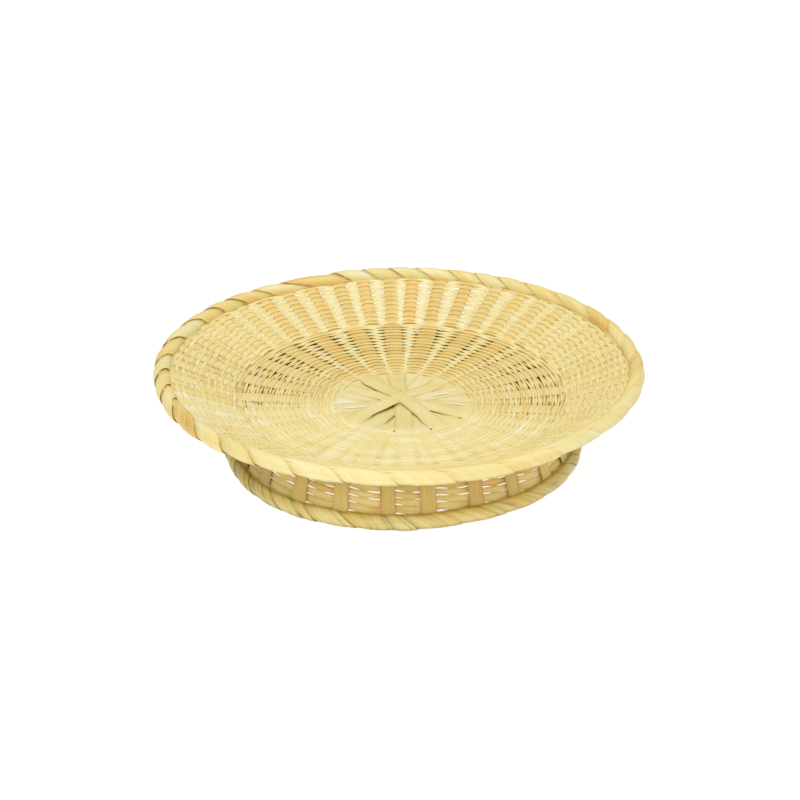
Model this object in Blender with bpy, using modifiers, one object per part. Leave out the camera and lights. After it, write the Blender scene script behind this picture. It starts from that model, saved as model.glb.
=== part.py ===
"""Footed round bamboo tray basket, about 300 mm across and 60 mm high.

Twelve long splints cross at the centre and run from rim to rim.  Thin wefts
are woven over and under them.  At the bend 24 side stakes join: their lower
ends stand in a woven ring foot and their upper ends run up the wall between
the splints to the rim.  Rim and foot border are hoops bound by a wide splint
wound round and round.

Frame: origin at the centre of the foot's underside, +Z up, front at -Y.
All lengths are in metres.
"""

import math

import bpy

MM = 0.001

# ---- overall -------------------------------------------------------------
RIM_RADIUS = 144.6 * MM          # centre line of the rim
RIM_HEIGHT = 54.7 * MM
RIM_WRAP_R = 5.5 * MM            # corner radius of the rim's section
FOOT_RADIUS = 106.5 * MM         # centre line of the foot's border
FOOT_BORDER_APOTHEM = 5.4 * MM   # half the height of the foot's border
FOOT_TOP_RADIUS = 99.3 * MM
FOOT_TOP_HEIGHT = 33.0 * MM

# ---- tray profile (middle plane of the splints) ----------------------------
BASE_CENTRE_Z = 32.2 * MM
BEND_RADIUS = 98.0 * MM
BEND_Z = 37.1 * MM
WALL_RISE = 0.3976               # rise of the wall per unit of radius
RIB_END_RADIUS = 147.6 * MM

# ---- splints ---------------------------------------------------------------
SPLINTS = 12
SPOKE_PITCH = 2 * math.pi / (2 * SPLINTS)
FIRST_SPOKE = math.radians(2.5)
SPLINT_T = 0.30 * MM
CENTRE_WIDTH = 8.6 * MM
SPOKE_WIDTH = 12.4 * MM
WALL_WIDTH = 8.4 * MM
LAYER_PITCH = 0.45 * MM
LAYER_FLAT_R = 33.5 * MM         # the splints lie stacked up to here
LAYER_END_R = 43.0 * MM          # and share one plane from here on
# place of each splint in the stack, counted from the bottom, by its direction
STACK = (5, 8, 0, 10, 3, 6, 9, 1, 11, 4, 7, 2)

# ---- side stakes -----------------------------------------------------------
STAKE_T = 0.40 * MM
STAKE_WIDTH = 8.4 * MM

# ---- wefts -----------------------------------------------------------------
WEFT_T = 0.35 * MM
WEFT_GAP = 0.28 * MM             # clear space between a weft and what it crosses
BASE_WEFTS = 4
BASE_WEFT_IN, BASE_WEFT_OUT = 44.0 * MM, 96.0 * MM
WALL_WEFTS = 3
WALL_WEFT_IN, WALL_WEFT_OUT = 103.6 * MM, 138.2 * MM
BETWEEN_WEFTS = 0.5 * MM
FOOT_WEFTS = 5
FOOT_WEFT_Z0, FOOT_WEFT_PITCH = 13.2 * MM, 4.6 * MM
FOOT_WEFT_HEIGHT = 3.9 * MM

# ---- hoops and wraps -------------------------------------------------------
WRAP_T = 0.45 * MM
WRAPS = 48
WRAP_HALF = math.radians(3.25)   # half the ribbon's reach round the basket
WRAP_NARROW = math.radians(1.25)  # the same where it slips between the ribs
HOOP_SEGMENTS = 48

WALL_ANGLE = math.atan(WALL_RISE)
FOOT_DIR = math.atan2(FOOT_TOP_HEIGHT - FOOT_BORDER_APOTHEM,
                      FOOT_TOP_RADIUS - FOOT_RADIUS)

for old in list(bpy.data.objects):
    bpy.data.objects.remove(old, do_unlink=True)

basket = bpy.data.collections.new("zaru_bamboo_basket")
bpy.context.scene.collection.children.link(basket)
root = bpy.data.objects.new("basket_frame", None)
basket.objects.link(root)


# ---- helpers ---------------------------------------------------------------
def material(name, colour, roughness):
    mat = bpy.data.materials.new(name)
    mat.use_nodes = True
    shader = mat.node_tree.nodes["Principled BSDF"]
    shader.inputs["Base Color"].default_value = (*colour, 1.0)
    shader.inputs["Roughness"].default_value = roughness
    shader.inputs["Metallic"].default_value = 0.0
    mat.diffuse_color = (*colour, 1.0)
    return mat


def place(name, points, faces, mat, angle=0.0, thickness=None, offset=0.0):
    """An object from points and faces, thickened if it is an open sheet."""
    mesh = bpy.data.meshes.new(name)
    mesh.from_pydata([tuple(p) for p in points], [], faces)
    mesh.update()
    mesh.materials.append(mat)
    obj = bpy.data.objects.new(name, mesh)
    basket.objects.link(obj)
    obj.parent = root
    obj.rotation_euler = (0.0, 0.0, angle)
    if thickness:
        solid = obj.modifiers.new("Thickness", "SOLIDIFY")
        solid.thickness = thickness
        solid.offset = offset
        solid.use_even_offset = True
    mesh.shade_smooth()
    mesh.set_sharp_from_angle(angle=math.radians(30))
    return obj


def smooth(x):
    x = min(1.0, max(0.0, x))
    return x * x * (3 - 2 * x)


def base_z(r):
    return BASE_CENTRE_Z + (BEND_Z - BASE_CENTRE_Z) * (r / BEND_RADIUS) ** 2


def tray_z(r):
    """Height of the splints' middle plane, with a rounded bend."""
    wall = BEND_Z + (r - BEND_RADIUS) * WALL_RISE
    blend = smooth((r - (BEND_RADIUS - 3 * MM)) / (6 * MM))
    return base_z(min(r, BEND_RADIUS + 3 * MM)) * (1 - blend) + wall * blend


def tray_normal(r):
    d = 0.2 * MM
    slope = (tray_z(r + d) - tray_z(r - d)) / (2 * d)
    length = math.hypot(1.0, slope)
    return -slope / length, 1.0 / length      # in the (r, z) plane, facing up


def tray_point(r, offset):
    nr, nz = tray_normal(r)
    return r + nr * offset, tray_z(r) + nz * offset


def splint_width(r):
    if r < BEND_RADIUS:
        return CENTRE_WIDTH + (SPOKE_WIDTH - CENTRE_WIDTH) * smooth(
            (r - 40 * MM) / (38 * MM))
    return SPOKE_WIDTH + (WALL_WIDTH - SPOKE_WIDTH) * smooth(
        (r - BEND_RADIUS) / (5 * MM))


def around(r, z, angle):
    return r * math.cos(angle), r * math.sin(angle), z


# ---- splints ---------------------------------------------------------------
pale = [material("bamboo_pale_%d" % i, c, 0.55) for i, c in enumerate((
    (0.80, 0.62, 0.30), (0.76, 0.58, 0.27), (0.83, 0.66, 0.35)))]
tan = [material("bamboo_tan_%d" % i, c, 0.55) for i, c in enumerate((
    (0.72, 0.46, 0.16), (0.68, 0.44, 0.17), (0.75, 0.50, 0.20)))]
straw = material("bamboo_straw", (0.86, 0.74, 0.42), 0.6)
shade = material("bamboo_foot_weft", (0.62, 0.42, 0.15), 0.6)
bark = material("bamboo_wrap", (0.84, 0.70, 0.36), 0.5)
core = material("bamboo_hoop", (0.66, 0.50, 0.24), 0.65)

half_radii = ([0.0, 16.0, 33.5, 36.7, 39.8, 43.0, 55.0, 66.0, 80.0, 95.0,
               97.0, 99.0, 101.0, 103.2, 125.0, RIB_END_RADIUS / MM])
for i in range(SPLINTS):
    layer = (STACK[i] - (SPLINTS - 1) / 2) * LAYER_PITCH
    points, faces = [], []
    stations = [-r for r in half_radii[:0:-1]] + half_radii
    for x in stations:
        r = abs(x) * MM
        lift = layer * (1 - smooth((r - LAYER_FLAT_R) /
                                   (LAYER_END_R - LAYER_FLAT_R)))
        half = splint_width(r) / 2
        points += [(x * MM, -half, tray_z(r) + lift),
                   (x * MM, half, tray_z(r) + lift)]
    for k in range(len(stations) - 1):
        a = 2 * k
        faces.append((a, a + 2, a + 3, a + 1))
    place("tray_splint_%02d" % (i + 1), points, faces, pale[i % 3],
          FIRST_SPOKE + i * SPOKE_PITCH, SPLINT_T)


# ---- side stakes: foot, bend, wall -------------------------------------------
def foot_point(along, out):
    """A point of the foot's wall: along it from the border, and out from it."""
    c, s = math.cos(FOOT_DIR), math.sin(FOOT_DIR)
    return (FOOT_RADIUS + along * c + out * s,
            FOOT_BORDER_APOTHEM + along * s - out * c)


STAKE_OUT = 0.35 * MM
foot_length = math.hypot(FOOT_TOP_HEIGHT - FOOT_BORDER_APOTHEM,
                         FOOT_TOP_RADIUS - FOOT_RADIUS)
stake_path = [foot_point(a, STAKE_OUT) for a in
              (-2.6 * MM, 5 * MM, foot_length * 0.6, foot_length)]
stake_path += [(FOOT_TOP_RADIUS + 0.15 * MM, 35.6 * MM),
               (FOOT_TOP_RADIUS + 0.9 * MM, 37.3 * MM)]
stake_path += [(r, tray_z(r)) for r in
               (102.4 * MM, 108 * MM, 125 * MM, RIB_END_RADIUS)]
for i in range(2 * SPLINTS):
    points, faces = [], []
    for r, z in stake_path:
        points += [(r, -STAKE_WIDTH / 2, z), (r, STAKE_WIDTH / 2, z)]
    for k in range(len(stake_path) - 1):
        a = 2 * k
        faces.append((a, a + 2, a + 3, a + 1))
    place("side_stake_%02d" % (i + 1), points, faces, tan[i % 3],
          FIRST_SPOKE + (i + 0.5) * SPOKE_PITCH, STAKE_T)


# ---- wefts of the tray -------------------------------------------------------
def woven_ring(name, r_in, r_out, ribs, first_rib, rib_width, phase, mat):
    """A flat ring that goes over one rib and under the next."""
    rise = (STAKE_T if ribs > 24 else SPLINT_T) / 2 + WEFT_GAP + WEFT_T / 2
    points, faces = [], []
    for k in range(ribs):
        side = rise if (k + phase) % 2 == 0 else -rise
        centre = first_rib + k * 2 * math.pi / ribs
        for edge in (-1, 1):
            for r in (r_in, r_out):
                reach = math.asin((rib_width(r) / 2 + 0.15 * MM) / r)
                pr, pz = tray_point(r, side)
                points.append(around(pr, pz, centre + edge * reach))
    n = len(points)
    for a in range(0, n, 2):
        faces.append((a, a + 1, (a + 3) % n, (a + 2) % n))
    return place(name, points, faces, mat, 0.0, WEFT_T)


step = (BASE_WEFT_OUT - BASE_WEFT_IN) / BASE_WEFTS
for i in range(BASE_WEFTS):
    inner = BASE_WEFT_IN + i * step
    woven_ring("base_weft_%d" % (i + 1), inner, inner + step - BETWEEN_WEFTS,
               2 * SPLINTS, FIRST_SPOKE, splint_width, i, straw)

step = (WALL_WEFT_OUT - WALL_WEFT_IN) / WALL_WEFTS
for i in range(WALL_WEFTS):
    inner = WALL_WEFT_IN + i * step
    woven_ring("wall_weft_%d" % (i + 1), inner, inner + step - BETWEEN_WEFTS,
               4 * SPLINTS, FIRST_SPOKE, lambda r: WALL_WIDTH, i, straw)


# ---- wefts of the foot: inside the side stakes, outside the short ones --------
apothem_in = 0.45 * MM
for i in range(FOOT_WEFTS):
    points, faces = [], []
    z_mid = FOOT_WEFT_Z0 + i * FOOT_WEFT_PITCH
    for k in range(2 * SPLINTS):
        angle = FIRST_SPOKE + k * SPOKE_PITCH
        for z in (z_mid - FOOT_WEFT_HEIGHT / 2, z_mid + FOOT_WEFT_HEIGHT / 2):
            along = (z - FOOT_BORDER_APOTHEM) / math.sin(FOOT_DIR)
            r, _ = foot_point(along, 0.0)
            points.append(around((r - apothem_in) / math.cos(SPOKE_PITCH / 2),
                                 z, angle))
    n = len(points)
    for a in range(0, n, 2):
        faces.append((a, (a + 2) % n, (a + 3) % n, a + 1))
    place("foot_weft_%d" % (i + 1), points, faces, shade, 0.0, WEFT_T)

# ---- short inner stakes of the foot, on their band ----------------------------
INNER_STAKE_T = 0.4 * MM
INNER_HALF = 3.7 * MM
inner_out = -0.85 * MM
points, faces = [], []
rows = [-2.6 * MM, 3.2 * MM, foot_length - 1.0 * MM]
per_row = []
for along in rows:
    r, z = foot_point(along, inner_out)
    row = []
    for k in range(2 * SPLINTS):
        angle = FIRST_SPOKE + k * SPOKE_PITCH
        for edge in (-1, 1):
            row.append(len(points))
            reach = math.atan(INNER_HALF / r)
            points.append(around(r / math.cos(reach), z, angle + edge * reach))
    per_row.append(row)
n = len(per_row[0])
for a in range(n):
    b = (a + 1) % n
    faces.append((per_row[0][a], per_row[0][b], per_row[1][b], per_row[1][a]))
for a in range(0, n, 2):
    faces.append((per_row[1][a], per_row[1][a + 1],
                  per_row[2][a + 1], per_row[2][a]))
place("foot_inner_stakes", points, faces, tan[1], 0.0, INNER_STAKE_T)


# ---- hoops -------------------------------------------------------------------
def hoop(name, centre_r, centre_z, direction, section, mat):
    """A closed ring of the given section, turned to lie along a wall."""
    c, s = math.cos(direction), math.sin(direction)
    points, faces = [], []
    m = len(section)
    for k in range(HOOP_SEGMENTS):
        angle = FIRST_SPOKE + k * 2 * math.pi / HOOP_SEGMENTS
        for u, n in section:
            r = centre_r + u * c - n * s
            z = centre_z + u * s + n * c
            points.append(around(r, z, angle))
    total = len(points)
    for k in range(HOOP_SEGMENTS):
        for j in range(m):
            a, b = k * m + j, k * m + (j + 1) % m
            faces.append((a, (a + m) % total, (b + m) % total, b))
    return place(name, points, faces, mat)


def section_mm(pairs):
    return [(u * MM, n * MM) for u, n in pairs]


# the ribs pass between the two hoops, a little above the rim's centre line
rim_upper = section_mm(((-3.3, 1.6), (3.3, 1.6), (1.9, 3.5), (-1.9, 3.5)))
rim_lower = section_mm(((-1.9, -3.5), (1.9, -3.5), (3.5, 0.1), (-3.5, 0.1)))
hoop("rim_inner_hoop", RIM_RADIUS, RIM_HEIGHT, WALL_ANGLE, rim_upper, core)
hoop("rim_outer_hoop", RIM_RADIUS, RIM_HEIGHT, WALL_ANGLE, rim_lower, core)

# in the foot's frame +n points into the foot
foot_inside = section_mm(((-3.4, 1.95), (3.2, 1.95), (2.0, 4.1), (-2.2, 4.1)))
foot_outside = section_mm(((-2.2, -3.9), (2.0, -3.9), (3.2, -1.25), (-3.4, -1.25)))
hoop("foot_inner_hoop", FOOT_RADIUS, FOOT_BORDER_APOTHEM, FOOT_DIR,
     foot_inside, core)
hoop("foot_outer_hoop", FOOT_RADIUS, FOOT_BORDER_APOTHEM, FOOT_DIR,
     foot_outside, core)


# ---- wraps: one ribbon wound 48 times round the hoops -------------------------
def wrap(name, centre_r, centre_z, radius, corners, first_gap, mat):
    """corners: section angle, share of the turn done, half reach."""
    points, faces = [], []
    for turn in range(WRAPS):
        for section_angle, done, half in corners:
            r = centre_r + radius * math.cos(section_angle)
            z = centre_z + radius * math.sin(section_angle)
            angle = first_gap + (turn + done) * 2 * math.pi / WRAPS
            points += [around(r, z, angle - half), around(r, z, angle + half)]
    n = len(points)
    for a in range(0, n, 2):
        faces.append((a, (a + 2) % n, (a + 3) % n, a + 1))
    return place(name, points, faces, mat, 0.0, WRAP_T, -1.0)


first_gap = FIRST_SPOKE + SPOKE_PITCH / 4
through = math.pi + WALL_ANGLE
rim_corners = []
for j, (done, half) in enumerate((
        (0.05, WRAP_NARROW), (0.25, WRAP_HALF), (0.50, WRAP_HALF),
        (0.70, WRAP_HALF), (0.85, WRAP_HALF), (0.95, WRAP_NARROW))):
    rim_corners.append((through - math.radians(30 + 60 * j), done, half))
wrap("rim_wrap", RIM_RADIUS, RIM_HEIGHT, RIM_WRAP_R, rim_corners, first_gap,
     bark)

foot_corner_r = FOOT_BORDER_APOTHEM / math.cos(math.radians(30))
foot_corners = []
FOOT_NARROW = math.radians(1.15)
for j, (done, half) in enumerate((
        (0.0, FOOT_NARROW), (0.25, WRAP_HALF), (0.50, WRAP_HALF),
        (0.70, WRAP_HALF), (0.88, WRAP_HALF), (1.0, FOOT_NARROW))):
    foot_corners.append((math.radians(60 - 60 * j), done, half))
wrap("foot_wrap", FOOT_RADIUS, FOOT_BORDER_APOTHEM, foot_corner_r,
     foot_corners, first_gap, bark)
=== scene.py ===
import math

import bpy
import numpy as np
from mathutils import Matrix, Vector


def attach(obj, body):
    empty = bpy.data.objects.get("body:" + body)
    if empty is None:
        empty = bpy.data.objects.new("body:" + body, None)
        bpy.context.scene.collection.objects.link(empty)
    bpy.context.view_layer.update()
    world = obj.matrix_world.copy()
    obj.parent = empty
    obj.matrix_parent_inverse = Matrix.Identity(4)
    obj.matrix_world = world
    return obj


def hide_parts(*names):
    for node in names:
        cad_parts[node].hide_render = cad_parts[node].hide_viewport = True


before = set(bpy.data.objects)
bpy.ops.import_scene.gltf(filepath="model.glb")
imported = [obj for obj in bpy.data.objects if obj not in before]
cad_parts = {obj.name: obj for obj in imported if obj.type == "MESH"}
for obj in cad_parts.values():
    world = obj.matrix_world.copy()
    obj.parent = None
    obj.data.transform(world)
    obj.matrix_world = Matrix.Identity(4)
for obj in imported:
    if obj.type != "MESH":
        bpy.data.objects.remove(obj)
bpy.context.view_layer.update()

# ---------------------------------------------------------------- sizes, mm
MM = 0.001
RIM_R, RIM_Z = 145.2, 54.9            # centreline of the rim
FOOT_R, FOOT_Z = 106.5, 5.4           # centreline of the foot's border
FOOT_TOP_R, FOOT_TOP_Z = 99.3, 33.0   # where the foot meets the bend
BASE_Z = 32.2                         # height of the base at its centre
BEND_R, BEND_Z = 98.0, 37.1           # where the base turns up into the wall
WALL_RISE = 0.3976
RIB_END_R = 147.4

SPOKES = 24
FIRST_SPOKE = 2.5                     # degrees
STACK = (3, 8, 4, 10, 5, 1, 7, 0, 11, 2, 9, 6)   # which splint lies on which in the rosette
SPLINT_T = 0.40
STAKE_T = 0.42

BASE_IN, BASE_OUT, BASE_PITCH = 41.0, 100.0, 1.84
BASE_OFF = (2.3, -4.7)                # how far the first round stands off the centre
WALL_IN, WALL_OUT, WALL_PITCH = 102.4, 141.0, 1.90

# by how many degrees each spoke stands off its even place, in the base and on the wall, and each side stake
SPOKE_OFF = (0.5, 3.2, 2.8, 1.2, 1.3, 1.5, 0.4, -0.8, -0.6, -0.3, 0.0, -0.2, -0.5, -0.3, 0.6, -0.8, 0.5, -0.4, 0.7, -0.6, 0.3, -0.5, 0.8, -0.4)
SPOKE_OFF_WALL = (0.3, 1.6, 1.9, 0.5, 0.4, 1.6, 0.3, -0.4, -0.2, 0.0, 0.3, -0.5, 0.4, -0.3, 0.2, -0.6, 0.5, -0.2, 0.4, -0.5, 0.6, -0.4, 0.5, -0.3)
STAKE_OFF = (0.8, 1.5, 0.9, 0.1, 1.3, 1.8, 0.3, -0.2, 0.0, 0.4, -0.6, 0.3, -0.4, 0.5, -0.3, 0.6, 0.3, 0.8, -1.1, 0.4, -0.5, 0.3, -0.6, 0.5)

TAU = 2 * math.pi


def smooth(x):
    x = np.clip(x, 0.0, 1.0)
    return x * x * (3.0 - 2.0 * x)


def base_z(r):
    return BASE_Z + (BEND_Z - BASE_Z) * (r / BEND_R) ** 2


def tray_z(r):
    """Height of the tray's middle surface at radius r."""
    r = np.asarray(r, float)
    wall = BEND_Z + (r - BEND_R) * WALL_RISE
    blend = smooth((r - (BEND_R - 3)) / 6)
    return base_z(np.minimum(r, BEND_R + 3)) * (1 - blend) + wall * blend


def tray_normal(r):
    """Components (outward, up) of the tray's upward normal at radius r."""
    slope = (tray_z(r + 0.4) - tray_z(r - 0.4)) / 0.8
    length = np.sqrt(1 + slope ** 2)
    return -slope / length, 1 / length


def polar(r, phi, z):
    return np.stack([r * np.cos(phi), r * np.sin(phi), z + 0 * r], -1)


def waves(seed, x, longest, count=5):
    """A smooth random curve between about -1 and 1 over x, the longest of its waves as given."""
    gen = np.random.default_rng(seed)
    out = 0.0
    for k in range(count):
        out = out + gen.uniform(0.4, 1) * np.sin(x * TAU / longest * (k + 1) ** 0.9 + gen.uniform(0, TAU)) / (k + 1)
    return out / 1.4


def ring_waves(seed, phi, lowest=2, count=7):
    """The same round a ring, so that its ends meet."""
    gen = np.random.default_rng(seed)
    out = 0.0
    for k in range(count):
        n = lowest + int(gen.integers(0, 3)) + 2 * k
        out = out + gen.uniform(0.3, 1) * np.sin(n * phi + gen.uniform(0, TAU)) / (1 + 0.5 * k)
    return out / 1.6


def knots(seed, x, reach=1.0):
    """Random steps at the whole numbers, joined smoothly."""
    gen = np.random.default_rng(seed)
    x = np.asarray(x, float) - math.floor(float(np.min(x)))
    level = np.clip(gen.normal(0, 0.6, int(np.max(x)) + 3), -1.3, 1.3)
    k = np.floor(x).astype(int)
    f = smooth((x - k - 0.5 + reach / 2) / reach)
    return level[k] * (1 - f) + level[k + 1] * f


def rib_count(phi, angles):
    """How many ribs lie between the first one and phi: a whole number on each rib."""
    angles = np.asarray(angles, float)
    deg = np.degrees(phi) - angles[0]
    turn = np.floor(deg / 360)
    at = np.r_[angles - angles[0], 360.0]
    return turn * len(angles) + np.interp(deg - 360 * turn, at, np.arange(len(angles) + 1))


def resample(points, step):
    points = np.asarray(points, float)
    lengths = np.r_[0, np.cumsum(np.linalg.norm(np.diff(points, axis=0), axis=1))]
    count = max(3, int(round(lengths[-1] / step)) + 1)
    at = np.linspace(0, lengths[-1], count)
    return np.stack([np.interp(at, lengths, points[:, k]) for k in range(points.shape[1])], -1)


def rounded(points, times=3):
    """Cuts the corners of a line several times, which keeps its ends."""
    points = np.asarray(points, float)
    for _ in range(times):
        a = points[:-1] * 0.75 + points[1:] * 0.25
        b = points[:-1] * 0.25 + points[1:] * 0.75
        mid = np.empty((2 * len(a), points.shape[1]))
        mid[0::2], mid[1::2] = a, b
        points = np.vstack([points[:1], mid[1:-1], points[-1:]])
    return points


def settle(p):
    """The small ways in which the woven ring isn't round: the rim is flatter in two places, and the foot stands a little to the right."""
    x, y, z = p[:, 0].copy(), p[:, 1].copy(), p[:, 2].copy()
    r = np.hypot(x, y) + 1e-9
    from_front = (np.degrees(np.arctan2(y, x)) + 90) % 360

    def dent(centre, width):
        away = (from_front - centre + 180) % 360 - 180
        return np.exp(-(away / width) ** 2)

    phi = np.radians(from_front)
    d = -3.0 * dent(50, 24) - 2.0 * dent(207, 20) + 0.5 * dent(275, 30) + 0.25 * ring_waves(41, phi, 2, 5)
    d = d * smooth((r - 98) / 42)
    x, y = x * (1 + d / r), y * (1 + d / r)
    z = z + smooth((r - 98) / 42) * (0.35 * ring_waves(43, phi, 2, 4) - 0.5 * dent(207, 22))
    low = (1 - smooth((z - 3) / 32)) * smooth((r - 84) / 8)
    d = (-1.4 * dent(284, 13) + 1.8 * dent(322, 18) - 2.2 * dent(22, 17)) * low
    x, y = x * (1 + d / r), y * (1 + d / r)
    x = x + 1.3 * low
    return np.stack([x, y, z], -1)


# ---------------------------------------------------------------- strips
class Weaver:
    """Collects bamboo strips into one mesh. A strip is a grid of points, along and across it, given a thickness."""

    def __init__(self, name):
        self.name = name
        self.points, self.faces, self.bamboo, self.tones, self.shades = [], [], [], [], []
        self.count = 0

    def strip(self, grid, thick, tone, seed, edge=0.45, start=0.0, at=None, below=0.0, shade=0.0, shade_below=0.0):
        """grid is (n along, m across, 3) in mm, thick the thickness, tone a number or one for each point, edge the
        thickness left at the edges, at where the points lie across the strip, from -1 to 1, below what is added to the
        tone of the lower face, and shade how much the strip is darkened, from 0 to 1: mostly painted shade and painted
        shadow, partly its own dirt and dark seams."""
        n, m, _ = grid.shape
        along = np.gradient(grid, axis=0)
        across = np.gradient(grid, axis=1)
        normal = np.cross(along, across)
        normal /= np.linalg.norm(normal, axis=2, keepdims=True) + 1e-12
        t = np.linspace(-1, 1, m) if at is None else np.asarray(at, float)
        profile = edge + (1 - edge) * (1 - np.abs(t) ** 4)[None]
        half = (np.broadcast_to(np.asarray(thick, float), (n, m)) * profile)[..., None] / 2
        top, low = grid + normal * half, grid - normal * half
        base = self.count
        index = np.arange(n * m).reshape(n, m) + base
        under = index + n * m
        f = [
            np.stack([index[:-1, :-1], index[1:, :-1], index[1:, 1:], index[:-1, 1:]], -1).reshape(-1, 4),
            np.stack([under[:-1, :-1], under[:-1, 1:], under[1:, 1:], under[1:, :-1]], -1).reshape(-1, 4),
            np.stack([index[:-1, 0], under[:-1, 0], under[1:, 0], index[1:, 0]], -1),
            np.stack([index[:-1, -1], index[1:, -1], under[1:, -1], under[:-1, -1]], -1),
            np.stack([index[0, :-1], index[0, 1:], under[0, 1:], under[0, :-1]], -1),
            np.stack([index[-1, :-1], under[-1, :-1], under[-1, 1:], index[-1, 1:]], -1),
        ]
        self.faces.append(np.concatenate(f))
        self.points.append(np.concatenate([top.reshape(-1, 3), low.reshape(-1, 3)]))
        middle = grid[:, m // 2]
        run = start + np.r_[0, np.cumsum(np.linalg.norm(np.diff(middle, axis=0), axis=1))]
        side = np.linalg.norm(grid[:, -1] - grid[:, 0], axis=1)
        u = np.broadcast_to(run[:, None], (n, m))
        v = side[:, None] / 2 * t[None, :]
        s = np.full((n, m), float(seed))
        data = np.stack([u * MM, v * MM, s], -1).reshape(-1, 3)
        self.bamboo.append(np.concatenate([data, data]))
        tones = np.broadcast_to(np.asarray(tone, float), (n, m)).reshape(-1) if np.ndim(tone) else np.full(n * m, float(tone))
        self.tones.append(np.concatenate([tones, tones + np.broadcast_to(below, (n, m)).reshape(-1)]))
        shades = np.broadcast_to(np.asarray(shade, float), (n, m)).reshape(-1)
        self.shades.append(np.concatenate([shades, shades + np.broadcast_to(shade_below, (n, m)).reshape(-1)]))
        self.count += 2 * n * m

    def make(self, material, replaces=(), crease=50):
        points = settle(np.concatenate(self.points)) * MM
        faces = np.concatenate(self.faces)
        mesh = bpy.data.meshes.new(self.name)
        mesh.vertices.add(len(points))
        mesh.vertices.foreach_set("co", points.astype(np.float32).ravel())
        mesh.loops.add(faces.size)
        mesh.loops.foreach_set("vertex_index", faces.astype(np.int32).ravel())
        mesh.polygons.add(len(faces))
        mesh.polygons.foreach_set("loop_start", np.arange(0, faces.size, 4, dtype=np.int32))
        mesh.update(calc_edges=True)
        mesh.validate()
        data = np.concatenate(self.bamboo)
        layer = mesh.attributes.new("strand", "FLOAT_VECTOR", "POINT")
        layer.data.foreach_set("vector", data.astype(np.float32).ravel())
        layer = mesh.attributes.new("tone", "FLOAT", "POINT")
        layer.data.foreach_set("value", np.concatenate(self.tones).astype(np.float32))
        layer = mesh.attributes.new("shade", "FLOAT", "POINT")
        layer.data.foreach_set("value", np.concatenate(self.shades).astype(np.float32))
        mesh.shade_smooth()
        mesh.set_sharp_from_angle(angle=math.radians(crease))
        ob = bpy.data.objects.new(self.name, mesh)
        bpy.context.scene.collection.objects.link(ob)
        ob.data.materials.append(material)
        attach(ob, "root")
        if replaces:
            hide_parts(*replaces)
        return ob


def ribbon(path, across, width, columns=5, crown=0.0, normal=None, lift=0.0):
    """A grid for a strip that follows path (n, 3), its width along across (n, 3), raised by crown along its middle."""
    t = np.linspace(-1, 1, columns)
    width = np.broadcast_to(np.asarray(width, float), (len(path),))
    grid = path[:, None, :] + across[:, None, :] * (width[:, None, None] / 2) * t[None, :, None]
    if normal is not None:
        grid = grid + normal[:, None, :] * (crown * (1 - t[None, :, None] ** 2) + np.asarray(lift))
    return grid


# ---------------------------------------------------------------- materials
def ramp_stops(ramp, stops):
    while len(ramp.elements) > 1:
        ramp.elements.remove(ramp.elements[-1])
    ramp.elements[0].position, ramp.elements[0].color = stops[0][0], (*stops[0][1], 1)
    for at, colour in stops[1:]:
        e = ramp.elements.new(at)
        e.color = (*colour, 1)


def srgb(r, g, b):
    def one(c):
        c /= 255
        return c / 12.92 if c <= 0.04045 else ((c + 0.055) / 1.055) ** 2.4
    return (one(r), one(g), one(b))


# from fresh pale bamboo through straw and honey to the darker outer layer
BAMBOO = (
    (0.00, srgb(252, 248, 228)),
    (0.08, srgb(248, 239, 200)),
    (0.20, srgb(245, 230, 168)),
    (0.42, srgb(241, 216, 138)),
    (0.62, srgb(234, 195, 108)),
    (0.80, srgb(213, 163, 78)),
    (0.92, srgb(172, 118, 46)),
    (1.00, srgb(112, 72, 22)),
)


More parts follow.
